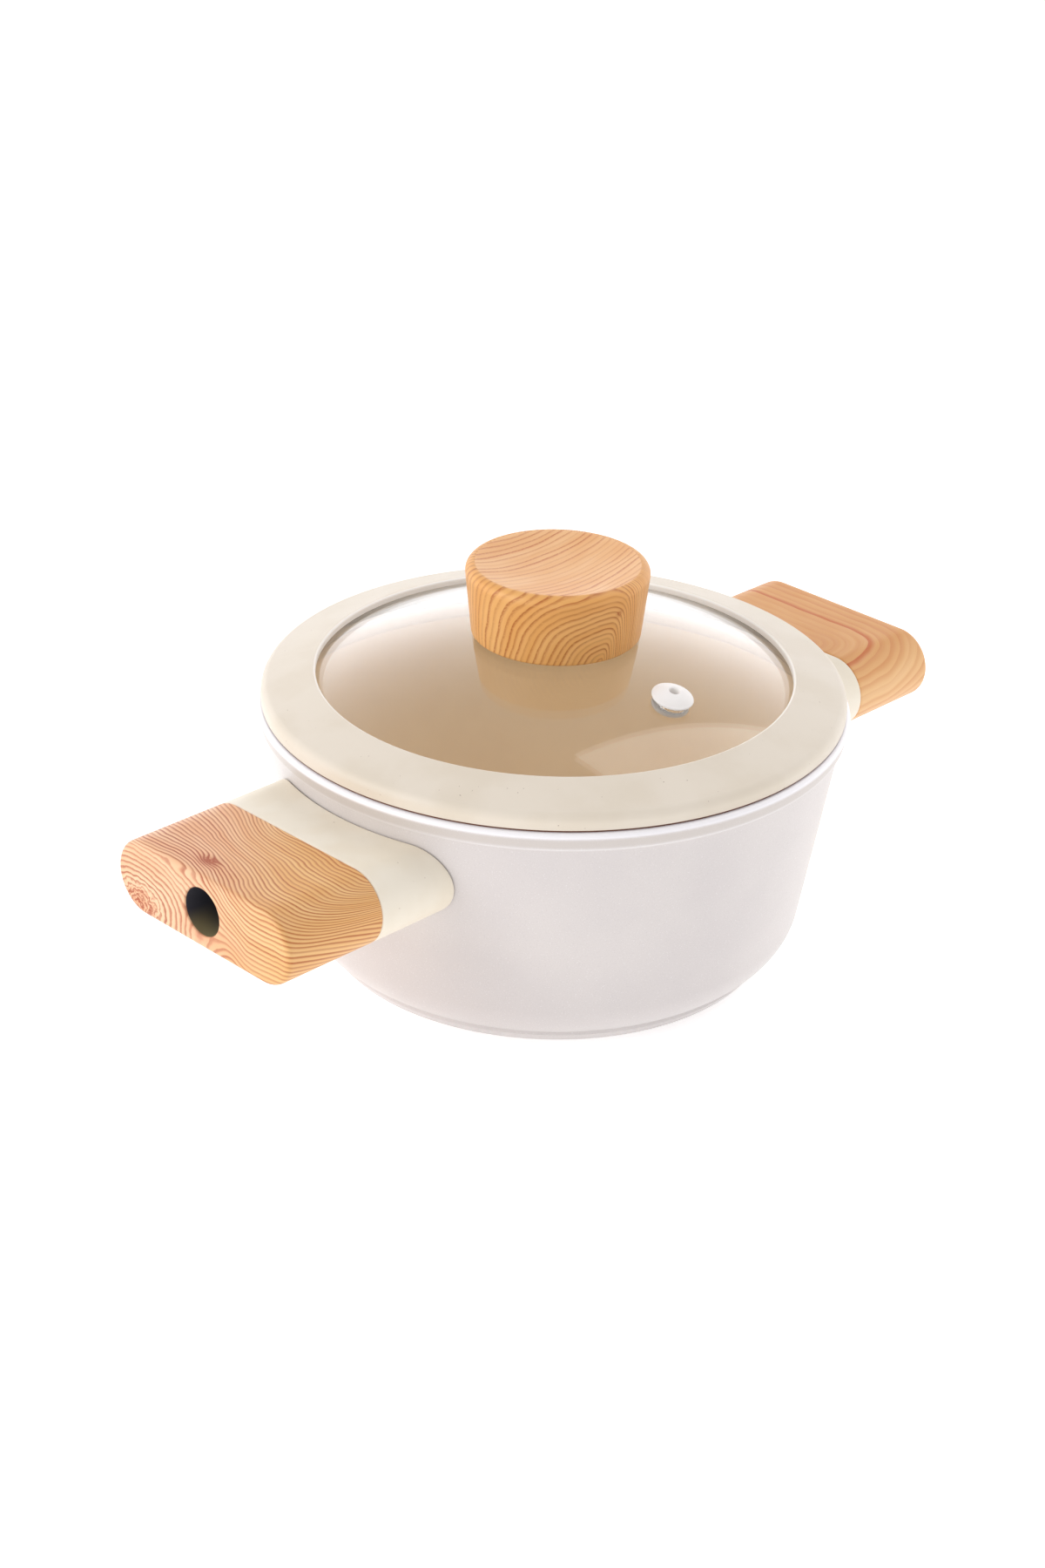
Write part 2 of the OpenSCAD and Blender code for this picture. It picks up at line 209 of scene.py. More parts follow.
class Graph:
    """A material's node tree, with short calls for the nodes used here."""

    def __init__(self, name):
        self.material = bpy.data.materials.new(name)
        self.material.use_nodes = True
        self.tree = self.material.node_tree
        self.shader = self.tree.nodes["Principled BSDF"]
        place = self.tree.nodes.new("ShaderNodeTexCoord").outputs["Object"]
        scaled = self.tree.nodes.new("ShaderNodeVectorMath")
        scaled.operation = "SCALE"
        scaled.inputs["Scale"].default_value = 1 / MM
        self.tree.links.new(place, scaled.inputs[0])
        self.place = scaled.outputs[0]                  # millimetres
        split = self.tree.nodes.new("ShaderNodeSeparateXYZ")
        self.tree.links.new(self.place, split.inputs[0])
        self.x, self.y, self.z = (Num(self, s) for s in split.outputs)

    def feed(self, socket, value):
        """Links a socket or a Num, or sets a constant."""
        if isinstance(value, Num):
            value = value.socket
        if isinstance(value, bpy.types.NodeSocket):
            self.tree.links.new(value, socket)
        else:
            socket.default_value = value

    def calc(self, operation, *values):
        """A Math node."""
        node = self.tree.nodes.new("ShaderNodeMath")
        node.operation = operation
        for socket, value in zip(node.inputs, values):
            self.feed(socket, value)
        return Num(self, node.outputs[0])

    def vector(self, x, y, z):
        """A vector from three numbers or sockets."""
        node = self.tree.nodes.new("ShaderNodeCombineXYZ")
        for socket, value in zip(node.inputs, (x, y, z)):
            self.feed(socket, value)
        return node.outputs[0]

    def noise(self, vector, scale, detail=2.0, rough=0.5, distortion=0.0):
        """Smooth noise between about 0 and 1; scale is features per millimetre."""
        node = self.tree.nodes.new("ShaderNodeTexNoise")
        self.feed(node.inputs["Vector"], vector)
        node.inputs["Scale"].default_value = scale
        node.inputs["Detail"].default_value = detail
        node.inputs["Roughness"].default_value = rough
        node.inputs["Distortion"].default_value = distortion
        return Num(self, node.outputs["Fac"])

    def random(self, value):
        """A number from 0 to 1 that is the same wherever value is."""
        node = self.tree.nodes.new("ShaderNodeTexWhiteNoise")
        node.noise_dimensions = "1D"
        self.feed(node.inputs["W"], value)
        return Num(self, node.outputs["Value"])

    def ease(self, value, low, high, to_low=0.0, to_high=1.0):
        """Smooth step of value from low to high."""
        node = self.tree.nodes.new("ShaderNodeMapRange")
        node.interpolation_type = "SMOOTHSTEP"
        for key, v in (("Value", value), ("From Min", low), ("From Max", high),
                       ("To Min", to_low), ("To Max", to_high)):
            self.feed(node.inputs[key], v)
        return Num(self, node.outputs["Result"])

    def positive(self, value):
        """value, or 0 where it is negative."""
        return self.calc("MAXIMUM", value, 0.0)

    def length(self, a, b):
        """Length of the vector (a, b)."""
        return self.calc("SQRT", a * a + b * b)

    def fade(self, value):
        """1 where value is 0, falling exponentially."""
        return self.calc("POWER", math.e, value * -1.0)

    def bell(self, distance, width):
        """1 where distance is 0, falling to 0 by about three widths."""
        return self.fade(distance * distance / (width * width))

    def mix(self, share, a, b):
        """Colour between a and b."""
        node = self.tree.nodes.new("ShaderNodeMix")
        node.data_type = "RGBA"
        node.clamp_factor = True
        self.feed(node.inputs[0], share)
        self.feed(node.inputs[6], a)
        self.feed(node.inputs[7], b)
        return node.outputs[2]

    def bump(self, height, distance, strength):
        """Bumps the surface; distance is millimetres of relief at height 1."""
        node = self.tree.nodes.new("ShaderNodeBump")
        node.inputs["Strength"].default_value = strength
        node.inputs["Distance"].default_value = distance * MM
        self.feed(node.inputs["Height"], height)
        self.tree.links.new(node.outputs[0], self.shader.inputs["Normal"])

    def set(self, **values):
        """Sets shader inputs; an underscore in a name stands for a space."""
        for key, value in values.items():
            self.feed(self.shader.inputs[key.replace("_", " ")], value)


def rgb(r, g, b):
    """Linear colour from 8-bit display values."""
    def lin(c):
        c /= 255
        return c / 12.92 if c <= 0.04045 else ((c + 0.055) / 1.055) ** 2.4
    return (lin(r), lin(g), lin(b), 1.0)


# ---- Materials ----

def pearl_coating():
    """Ceramic coating with fine mica: a milky base with a light sparkle, a painted highlight on the rim,
    painted shade on the band below it and a painted highlight line on the step.
    """
    g = Graph("pearl_coating")
    cloud = g.noise(g.place, 0.02, 3)
    flake = g.noise(g.place, 2.6, 1)
    fine = g.noise(g.place, 6.0, 0)
    spark = g.ease(flake, 0.60, 0.74) * g.ease(fine, 0.45, 0.7)
    base = g.mix(g.ease(cloud, 0.35, 0.65), rgb(214, 208, 206), rgb(220, 214, 211))
    base = g.mix(spark * 0.55, base, rgb(250, 248, 250))
    base = g.mix(g.ease(flake, 0.42, 0.28) * 0.22, base, rgb(196, 190, 190))

    # painted highlight on the rolled rim, painted shade on the band below it, and a painted highlight line
    # on the step under the band
    rim_highlight = g.ease(g.z, PAN_H - 1.7, PAN_H - 1.0) \
        * g.ease(g.length(g.x, g.y), RIM_R - 2.2, RIM_R - 1.4)
    base = g.mix(rim_highlight, base, rgb(254, 252, 254))
    heel = PAN_H - BAND_H
    # painted shade on the band face, and a painted highlight line along the step under it
    band_shade = g.ease(g.z, heel + 0.4, heel + 1.2) * g.ease(g.z, PAN_H - 1.4, PAN_H - 2.2)
    base = g.mix(band_shade * 0.6, base, rgb(200, 192, 184))
    base = g.mix(g.bell(g.z - heel + 0.2, 0.45) * 0.75, base, rgb(252, 250, 250))
    g.set(Base_Color=base, Roughness=g.ease(flake, 0.3, 0.7, 0.42, 0.32) - rim_highlight * 0.2,
          Coat_Weight=0.15, Coat_Roughness=0.15, IOR=1.45)
    g.bump(g.noise(g.place, 1.1, 2) * 0.7 + fine * 0.3, 0.02, 0.12)
    return g.material


def cream_enamel():
    """Smooth cream non-stick layer inside the pan; its faint glow stands in for light that doesn't get
    through the glass."""
    g = Graph("cream_enamel")
    cloud = g.noise(g.place, 0.03, 3)
    speck = g.noise(g.place, 1.8, 1)
    base = g.mix(g.ease(cloud, 0.35, 0.65), rgb(242, 222, 190), rgb(238, 215, 180))
    base = g.mix(g.ease(speck, 0.66, 0.78) * 0.3, base, rgb(206, 188, 158))
    g.set(Base_Color=base, Roughness=g.ease(cloud, 0.3, 0.7, 0.28, 0.36), IOR=1.5,
          Emission_Color=rgb(250, 230, 196), Emission_Strength=0.14)
    g.bump(speck, 0.02, 0.3)
    return g.material


def silicone(name, light, deep, rough, seat_z=None, lip_r=None, glow=0.0):
    """Moulded silicone: soft sheen and tiny dark specks. seat_z is the height of a dark seat line, painted
    shadow of the gap under the ring; lip_r is the radius of an inner lip painted paler as painted light,
    which alone has the glow if it is given. glow is a faint emission that stands in for light the surface
    doesn't get."""
    g = Graph(name)
    cloud = g.noise(g.place, 0.05, 4)
    grain = g.noise(g.place, 3.2, 2)
    speck = g.noise(g.place, 1.3, 0)
    base = g.mix(g.ease(cloud, 0.35, 0.65), light, deep)
    base = g.mix(g.ease(speck, 0.86, 0.88) * 0.5, base, rgb(120, 92, 70))
    if seat_z is not None:
        # painted shadow: the seat line is darkened where the gap under the ring lies in shade
        seat_gap_shadow = g.ease(g.z, seat_z + 0.7, seat_z + 0.5) * g.ease(g.z, seat_z - 0.1, seat_z)
        base = g.mix(seat_gap_shadow, base, rgb(112, 70, 52))
    if lip_r is not None:
        # painted light: the inner lip is lightened and glows where its wall would lie in shade
        lip = g.ease(g.length(g.x, g.y), lip_r + 0.9, lip_r + 0.2) * g.ease(g.z, PAN_H, PAN_H + 4)
        base = g.mix(lip * 0.85, base, rgb(252, 249, 244))
        g.set(Emission_Color=g.mix(lip, (0, 0, 0, 1), (1, 0.97, 0.92, 1)))
    g.set(Base_Color=base, Roughness=g.ease(grain, 0.3, 0.7, rough - 0.05, rough + 0.07),
          Sheen_Weight=0.08, Sheen_Roughness=0.4, IOR=1.42, Emission_Strength=glow)
    g.bump(grain, 0.02, 0.35)
    return g.material


def hole_sleeve():
    """Dark sleeve of the access hole, with olive light painted low down at its mouth."""
    g = Graph("hole_sleeve")
    grain = g.noise(g.place, 2.0, 2)
    low = g.ease(g.z, HANDLE_Z - 2.0, HANDLE_Z - 6.5)
    mouth = g.ease(g.calc("ABSOLUTE", g.x), END_X - 12.0, END_X - 2.0)
    # painted light: olive where light falls low in the mouth
    base = g.mix(low * mouth, rgb(68, 68, 76), rgb(142, 130, 96))
    g.set(Base_Color=base, Roughness=g.ease(grain, 0.3, 0.7, 0.4, 0.5), IOR=1.45)
    g.bump(grain, 0.02, 0.3)
    return g.material


def neck_plastic():
    """Cream moulded phenolic of the handle necks."""
    g = Graph("neck_plastic")
    cloud = g.noise(g.place, 0.06, 3)
    grain = g.noise(g.place, 2.4, 2)
    speck = g.noise(g.place, 1.2, 0)
    base = g.mix(g.ease(cloud, 0.35, 0.65), rgb(246, 238, 221), rgb(242, 232, 212))
    base = g.mix(g.ease(speck, 0.86, 0.88) * 0.5, base, rgb(150, 120, 90))
    g.set(Base_Color=base, Roughness=g.ease(grain, 0.3, 0.7, 0.38, 0.48), IOR=1.46)
    g.bump(grain, 0.02, 0.25)
    return g.material


def clear_glass():
    """Tempered lid glass with a faint warm body colour."""
    g = Graph("clear_glass")
    smear = g.noise(g.place, 0.05, 3)
    g.set(Base_Color=(0.985, 0.975, 0.955, 1), Roughness=g.ease(smear, 0.45, 0.75, 0.0, 0.02),
          Transmission_Weight=1.0, IOR=1.5)
    return g.material


def metal(name, colour, rough):
    """Machined metal with turning marks."""
    g = Graph(name)
    brushed = g.noise(g.place, 1.2, 3)
    fine = g.noise(g.vector(g.x * 6, g.y * 6, g.z * 6), 1.0, 1)
    base = g.mix(g.ease(brushed, 0.3, 0.7), colour, tuple(c * 0.86 for c in colour[:3]) + (1,))
    g.set(Base_Color=base, Metallic=1.0, Roughness=g.ease(fine, 0.3, 0.7, rough - 0.06, rough + 0.08))
    g.bump(fine, 0.01, 0.3)
    return g.material


def grain_lines(g, phase, rise, fall, least=0.4):
    """Dark latewood lines of a phase field, each ring with its own strength from least to 1."""
    ring = g.calc("FLOOR", phase)
    turn = phase - ring
    return g.ease(turn, *rise) * g.ease(turn, *fall) * (g.random(ring) * (1.0 - least) + least)


def wood_film(g, phase, along, lines, light, mid, dark, depth, dotted):
    """Printed wood-look film: two base tones, fibres that follow the grain, and dark lines. depth is how
    dark the lines are, and dotted how broken."""
    fibre = g.noise(g.vector(phase * 4.0, along * 0.12, 0.0), 1.0, 3, 0.6)
    broad = g.noise(g.vector(phase * 0.3, along * 0.03, 3.0), 1.0, 2)
    dots = g.noise(g.vector(phase * 5.0, along * 1.6, 7.0), 1.0, 1)
    base = g.mix(g.ease(broad, 0.3, 0.7), light, mid)
    base = g.mix(g.ease(fibre, 0.4, 0.75) * 0.3, base, mid)
    broken = lines * g.ease(dots, 0.30, 0.55, 1.0 - dotted, 1.0)
    g.set(Base_Color=g.mix(broken * depth, base, dark), IOR=1.45, Coat_Weight=0.12, Coat_Roughness=0.25,
          Roughness=g.ease(fibre, 0.3, 0.7, 0.42, 0.56))
    g.bump(fibre * 0.4 - lines * 0.6, 0.04, 0.35)
    return g.material


def bar_angle(g):
    """Angle round the bar's end on the -Y side, 0 on its flat top."""
    return g.calc("ARCTAN2", g.positive(-g.y - HALF_FLAT), g.z - HANDLE_Z)


def left_grip_wood():
    """Fine lines that crowd into a knot, fan out past it and swing along the rounded end; on the end face
    they ring a swirl beside the hole. across runs over the top from the outer end, and down the end
    face as negative values."""
    pitch = 1.5
    knot_y_mid, knot_across, knot_long, knot_rise = 4.7, 6.8, 1.7, 2.4
    crowd_y, crowd_width, crowd_strength = 6.0, 13.0, 0.45
    swirl_y_mid, swirl_down, swirl_wide = 25.6, 18.7, 1.4
    blush_y, blush_down = -5.0, 17.0
    g = Graph("left_grip_wood")
    inward, drop, y = g.x + END_X, (HANDLE_Z + END_R) - g.z, g.y
    across = inward * g.ease(bar_angle(g), 0.45, 1.6, 1.0, 0.3) - drop
    crowd = g.bell(y - crowd_y, crowd_width) * crowd_strength
    sweep = y * 0.05 + g.ease(y, 12.0, -22.0, 0.0, 17.0)
    plain = across + (g.positive(across) - 3.0) * crowd + sweep

    swirl_w = across + swirl_down
    swirl_y = (y - swirl_y_mid) / (g.positive(swirl_w) * 0.02 + swirl_wide)
    swirl = g.length(swirl_y, swirl_w)
    curl = g.noise(g.vector(y * 0.35, across * 0.35, 5.0), 1.0, 2) - 0.5
    rings = swirl + curl * g.ease(swirl, 9.0, 3.0, 0.8, 6.0) - swirl_down
    ringed = g.ease(across, 1.5, -2.5) * g.ease(y, -14.0, 4.0)
    ripple = g.noise(g.vector(y * 0.09, across * 0.07, 1.0), 1.0, 2) - 0.5
    flow = plain * (1.0 - ringed) + rings * ringed + ripple * 2.4

    knot_y, knot_w = (y - knot_y_mid) / knot_long, across - knot_across
    knot = knot_y * knot_y + knot_w * knot_w
    phase = (flow + g.fade(knot / 4.0) * knot_rise) / pitch
    lines = grain_lines(g, phase, (0.32, 0.74), (1.0, 0.86), 0.6)
    stain = g.bell(g.length((y - 6.0) * 0.05 ** 0.5, across - 5.5), 3.0)
    curls = g.noise(g.vector(y * 0.6, across * 0.6, 0.0), 1.0, 2, 0.6, 1.5)
    eye = g.fade(knot / 3.2) * (g.bell(curls - 0.5, 0.14) * 0.7 + 0.4)
    core = g.ease(swirl, 6.5, 3.0) * g.bell(curls - 0.48, 0.06)
    lines = g.calc("MINIMUM", lines * (stain * 0.5 + 0.92) + eye * 1.2 + core * 0.6, 1.0)

    gold = g.ease(inward * 0.8 - y * 0.9, -6.0, 34.0)
    blush = g.bell(g.length((y - blush_y) * 0.07 ** 0.5, across + blush_down), 3.0)
    light = g.mix(gold, rgb(246, 204, 164), rgb(240, 194, 130))
    mid = g.mix(gold, rgb(240, 186, 142), rgb(232, 178, 110))
    light = g.mix(g.calc("MINIMUM", blush * 0.8 + stain * 0.3, 1.0), light, rgb(224, 142, 100))
    dark = g.mix(gold, rgb(166, 64, 16), rgb(176, 82, 16))
    return wood_film(g, phase, y, lines, light, mid, dark, 0.94, 0.2)


def right_grip_wood():
    """Few broad soft lines along the bar that hook back to the seam at its rounded end."""
    pitch, main_at, main_width = 3.1, 19.8, 2.0
    hook_from, hook_len, reach_len, power, root = 10.0, 18.0, 19.0, 3.0, 0.333
    g = Graph("right_grip_wood")
    inward, drop = g.x - SEAM_X, (HANDLE_Z + END_R) - g.z
    over_end = inward + drop * g.ease(inward, GRIP_L - 1.6, GRIP_L)
    round_end = g.calc("MINIMUM", -g.y, HALF_FLAT) + bar_angle(g) * END_R
    hook = g.positive(round_end - hook_from) / hook_len
    reach = g.positive(over_end) / reach_len
    ripple = g.noise(g.vector(g.y * 0.05, g.x * 0.06, g.z * 0.06), 1.0, 2) - 0.5
    flow = (reach ** power + hook ** power) ** root * reach_len + ripple * 2.6
    phase = (flow - 18.6) / pitch
    lines = grain_lines(g, phase, (0.0, 0.07), (0.85, 0.05))
    main = g.bell(flow - main_at, main_width)
    lines = g.calc("MINIMUM", lines * (main * 1.1 + 0.36), 1.0)
    pale = g.ease(bar_angle(g), 0.2, 1.4)
    light = g.mix(pale, rgb(225, 168, 104), rgb(242, 199, 144))
    mid = g.mix(pale, rgb(218, 156, 90), rgb(234, 181, 122))
    return wood_film(g, phase, g.y, lines, light, mid, rgb(196, 90, 8), 0.92, 0.1)


def knob_wood():
    """Long lines across the dish; round the side, upright lines beside a cathedral arch."""
    top_pitch, top_bend = 2.2, 0.005
    side_r, side_pitch, arch_power = 24.8, 1.5, 4.0
    arch_left, arch_right, arch_high, arch_scale = 21.0, 8.6, 17.8, 17.0
    pin_around, pin_up, pin_size = 4.8, 14.2, 0.9
    g = Graph("knob_wood")
    x, y, up = g.x, g.y, g.z - KNOB_Z
    ripple = g.noise(g.vector(x * 0.03, y * 0.07, 2.0), 1.0, 2) - 0.5
    top = (y - x * x * top_bend + x * y * top_bend + ripple * 5.0) / top_pitch

    # around is millimetres of arc from the middle of the arch, with its seam at the back
    face, arch = math.radians(-136), math.radians(31)
    turned_x = x * math.cos(face) + y * math.sin(face)
    turned_y = y * math.cos(face) - x * math.sin(face)
    around = (g.calc("ARCTAN2", turned_y, turned_x) - arch) * side_r
    rough = (g.noise(g.vector(around * 0.1, up * 0.08, 4.0), 1.0, 2) - 0.5) * 1.7
    lean = g.positive(around * 0.012 + 0.6)
    left = g.positive(up * lean - around) / arch_left
    right = g.positive(around * 0.97 + up * 0.05) / arch_right
    crown = g.positive(up) / arch_high
    arched = (left ** arch_power + right ** arch_power + crown ** arch_power) ** (1 / arch_power)
    side = (arched * arch_scale + rough) / side_pitch

    dish_r = KNOB_TOP_R - KNOB_EDGE
    on_top = g.ease(g.length(x, y), dish_r + 0.15, dish_r - 0.15) * g.ease(up, KNOB_H * 0.6, KNOB_H * 0.7)
    on_side = 1.0 - on_top
    lines = grain_lines(g, top, (0.5, 0.92), (1.0, 0.93), 0.25) * on_top \
        + grain_lines(g, side, (0.35, 0.85), (1.0, 0.88)) * on_side
    phase = top * on_top + side * on_side
    along = x * on_top + up * on_side
    pin_x, pin_z = around - pin_around, up - pin_up
    pin = g.fade((pin_x * pin_x + pin_z * pin_z) / pin_size) * on_side
    lines = g.calc("MINIMUM", lines + pin * 0.9, 1.0)
    light = g.mix(on_top, rgb(240, 184, 113), rgb(242, 193, 139))
    mid = g.mix(on_top, rgb(231, 168, 93), rgb(234, 175, 115))
    dark = g.mix(on_top, rgb(168, 78, 16), rgb(184, 80, 26))
    return wood_film(g, phase, along, lines, light, mid, dark, 0.8, 0.5)


# ---- Pan ----

def make_pan(coat, enamel):
    """Pan as one turned shell, coated outside and enamelled inside, and the plugs seen in the base plate."""
    heel_z, heel_r, rim_r, lip_r = PAN_H - BAND_H, 0.4, 1.5, 0.8
    heel_out = wall_r(heel_z) + BAND_PROUD
    mouth = wall_r(PAN_H) - WALL_ACROSS
    foot_meet = CORNER_Z - math.sqrt(CORNER_R ** 2 - (FOOT_R - CORNER_X) ** 2)
    foot_angle = -math.degrees(math.acos((FOOT_R - CORNER_X) / CORNER_R))
    in_r = CORNER_R - WALL_T
    in_z = FLOOR_T + in_r
    in_x = wall_r(in_z) - WALL_ACROSS - in_r / math.cos(LEAN)
    outside = supported(
        [(0, PLATE_T), (PLATE_R, PLATE_T), (PLATE_R, 0), (FOOT_R - FOOT_BEVEL, 0), (FOOT_R, FOOT_H),
         (FOOT_R, foot_meet)]
        + arc(CORNER_X, CORNER_Z, CORNER_R, foot_angle, -LEAN_DEG, 30)
        + [(wall_r(z), z) for z in (30, 45, 60)]
        + [(wall_r(heel_z), heel_z)]
        + arc(heel_out - heel_r, heel_z + heel_r, heel_r, -90, -LEAN_DEG, 6)
        + arc(RIM_R - rim_r, PAN_H - rim_r, rim_r, -LEAN_DEG, 90, 14)
        + arc(mouth + lip_r, PAN_H - lip_r, lip_r, 90, 180 - LEAN_DEG, 8))
    inside = supported(
        [(mouth + 0.02, PAN_H - 1.2), (wall_r(40) - WALL_ACROSS, 40)]
        + arc(in_x, in_z, in_r, -LEAN_DEG, -90, 24) + [(in_x * 0.5, FLOOR_T), (0, FLOOR_T)])
    slots = [0] * len(outside) + [1] * len(inside)
    pan = lathe("pan_shell", outside + inside, 256, slots, (coat, enamel), closed=False)
    attach(pan, "pan", "pan_coating", "pan_body")

    # the casting shows through the base plate's holes
    step = PLATE_R / (PLATE_RINGS + 0.6)
    centres = [(0.0, 0.0)]
    for ring in range(1, PLATE_RINGS + 1):
        for i in range(6 * ring):
            t = 2 * math.pi * i / (6 * ring)
            centres.append((ring * step * math.cos(t), ring * step * math.sin(t)))
    bm = bmesh.new()
    sides, plug_r, plug_edge = 24, PLATE_HOLE_R - 0.05, 0.25
    for cx, cy in centres:
        rings = []
        for r, z in ((plug_r, PLATE_T), (plug_r, plug_edge), (plug_r - plug_edge, 0.03)):
            rings.append([bm.verts.new(((cx + r * math.cos(a)) * MM, (cy + r * math.sin(a)) * MM, z * MM))
                          for a in (2 * math.pi * i / sides for i in range(sides))])
        for a, b in zip(rings, rings[1:]):
            for i in range(sides):
                bm.faces.new((a[i], a[(i + 1) % sides], b[(i + 1) % sides], b[i]))
        bm.faces.new(rings[-1])
    mesh = bpy.data.meshes.new("base_plugs")
    bm.to_mesh(mesh)
    bm.free()
    mesh.materials.append(coat)
    attach(finish_mesh("base_plugs", mesh), "pan", "pan_coating")


# ---- Handles ----

def place_on(side, ring):
    """Turns a ring built for the right handle to the left one."""
    return ring if side > 0 else [(-x, -y, z) for x, y, z in ring]


def make_neck(side, material):
    """Sleeve from the wall's cone to the seam, with softened ends and a hollow inside."""
    gap, wall_edge, seam_edge, steps = 0.3, 0.35, 0.4, 6
    pocket_depth, pocket_r, hollow_r, hollow_short = 4.0, 4.0, 6.4, 2.0

    def wall_x(y, z):
        r = wall_r(HANDLE_Z + z) + gap
        return math.sqrt(max(r * r - y * y, 0.0))

    rings = []
    for i in range(steps + 1):                     # rounded edge against the pan
        t = math.pi / 2 * i / steps
        inset = wall_edge * (1 - math.sin(t))
        outline = stadium(HALF_FLAT, END_R - inset)
        rings.append([(wall_x(y, z) + wall_edge * (1 - math.cos(t)), y, HANDLE_Z + z) for y, z in outline])
    full = stadium(HALF_FLAT, END_R)
    for share in (0.05, 0.35, 0.65, 0.95):
        rings.append([(wall_x(y, z) + wall_edge + (SEAM_X - seam_edge - wall_x(y, z) - wall_edge) * share,
                       y, HANDLE_Z + z) for y, z in full])
    for i in range(steps + 1):                     # rounded edge at the seam
        t = math.pi / 2 * i / steps
        inset = seam_edge * (1 - math.cos(t))
        outline = stadium(HALF_FLAT, END_R - inset)
        rings.append([(SEAM_X - seam_edge + seam_edge * math.sin(t), y, HANDLE_Z + z) for y, z in outline])
    pocket = stadium(HALF_FLAT * 0.5, pocket_r)
    for x in (SEAM_X, SEAM_X - pocket_depth):
        rings.append([(x, y, HANDLE_Z + z) for y, z in pocket])
    hollow = stadium(HALF_FLAT - hollow_short, hollow_r)
    rings.append([(wall_x(y, z) + 1.5, y, HANDLE_Z + z) for y, z in hollow])
    name = ("right" if side > 0 else "left") + "_neck"
    obj = mesh_from_rings(name, [place_on(side, r) for r in rings], closed=True, materials=(material,))
    return attach(obj, "pan", "neck_cream", name.replace("_neck", "_handle_neck"))


def make_grip(side, material, dark):
    """Wood-look bar with rounded end edges and a screw access hole in its end."""
    seam_edge, end_edge, hole_edge, steps, end_steps = 0.5, 1.6, 0.6, 6, 10
    head_r, head_depth, shank_r = 6.1, 4.0, 2.6
    full = stadium(HALF_FLAT, END_R)
    rings = []
    for i in range(steps + 1):                     # rounded edge at the seam
        t = math.pi / 2 * i / steps
        outline = stadium(HALF_FLAT, END_R - seam_edge * (1 - math.sin(t)))
        rings.append([(SEAM_X + seam_edge * (1 - math.cos(t)), y, HANDLE_Z + z) for y, z in outline])
    for share in (0.03, 0.35, 0.65, 0.97):
        x = SEAM_X + seam_edge + (GRIP_L - seam_edge - end_edge) * share
        rings.append([(x, y, HANDLE_Z + z) for y, z in full])
    for i in range(end_steps + 1):                 # rounded edge of the end face
        t = math.pi / 2 * i / end_steps
        outline = stadium(HALF_FLAT, END_R - end_edge * (1 - math.cos(t)))
        rings.append([(END_X - end_edge + end_edge * math.sin(t), y, HANDLE_Z + z) for y, z in outline])
    rim = stadium(HALF_FLAT, END_R - end_edge)
    mouth = circle_like(rim, ACCESS_R + hole_edge)
    for share in (0.04, 0.3, 0.6, 0.9, 1.0):
        rings.append([(END_X, a[0] + (b[0] - a[0]) * share, HANDLE_Z + a[1] + (b[1] - a[1]) * share)
                      for a, b in zip(rim, mouth)])
    for i in range(1, steps + 1):                  # rounded mouth of the hole
        t = math.pi / 2 * i / steps
        ring = circle_like(rim, ACCESS_R + hole_edge * (1 - math.sin(t)))
        rings.append([(END_X - hole_edge * (1 - math.cos(t)), y, HANDLE_Z + z) for y, z in ring])
    wood_bands = len(rings) - 1
    for depth, r in ((1.2, ACCESS_R), (ACCESS_DEPTH - 0.3, ACCESS_R), (ACCESS_DEPTH, ACCESS_R),
                     (ACCESS_DEPTH, head_r), (ACCESS_DEPTH + head_depth, head_r),
                     (ACCESS_DEPTH + head_depth, shank_r), (GRIP_L, shank_r)):
        rings.append([(END_X - depth, y, HANDLE_Z + z) for y, z in circle_like(rim, r)])
    slots = [0] * wood_bands + [1] * (len(rings) - wood_bands - 1) + [0]
    name = ("right" if side > 0 else "left") + "_grip"
    obj = mesh_from_rings(name, [place_on(side, r) for r in rings], True, slots, (material, dark))
    return attach(obj, "pan", name + "_wood", name.replace("_grip", "_handle_grip"))


# ---- Lid ----

def glass_z(r, inset=0.0):
    """Height of the glass at radius r, inset below its top face."""
    return DOME_Z + math.sqrt((DOME_R - inset) ** 2 - r * r)


def make_ring(material):
    """Silicone rim: seat on the pan, rounded side, sloping top, inner lip, groove and skirt."""
    mouth = wall_r(PAN_H) - WALL_ACROSS
    play, gap, skirt_h, skirt_r, seat_h = 0.6, 0.05, 8.0, 0.9, 0.5
    low_r, side_r, lip_r, seat_w, under_w, lining = 0.25, 3.0, 0.7, 2.8, 4.4, 1.6
    seat_in, seat_out = mouth - play, mouth + seat_w
    skirt_z = PAN_H - skirt_h
    skirt_out = wall_r(skirt_z) - WALL_ACROSS - play
    under_r = GLASS_R - under_w
    groove_r = GLASS_R + gap
    profile = supported(
        [(under_r, glass_z(under_r, GLASS_T) - lining), (skirt_out - 2 * skirt_r, skirt_z + 1)]
        + arc(skirt_out - skirt_r, skirt_z + skirt_r, skirt_r, 180, 360, 12)
        + [(seat_in, PAN_H), (seat_out, PAN_H), (seat_out, PAN_H + seat_h), (LID_R - 0.4, PAN_H + seat_h)]
        + arc(LID_R - low_r, PAN_H + seat_h + low_r, low_r, -90, 0, 6)
        + arc(LID_R - side_r, PAN_H + RIM_SIDE - side_r, side_r, 0, 66, 14)
        + arc(GLASS_IN_R + lip_r, LIP_Z - lip_r, lip_r, 80, 180, 10)
        + [(GLASS_IN_R, glass_z(GLASS_IN_R) + gap), (groove_r, glass_z(groove_r) + gap),
           (groove_r, glass_z(groove_r, GLASS_T) - gap), (under_r, glass_z(under_r, GLASS_T) - gap)])
    ring = lathe("lid_ring", profile, 256, materials=(material,))
    return attach(ring, "lid_rim", "rim_silicone", "lid_rim")


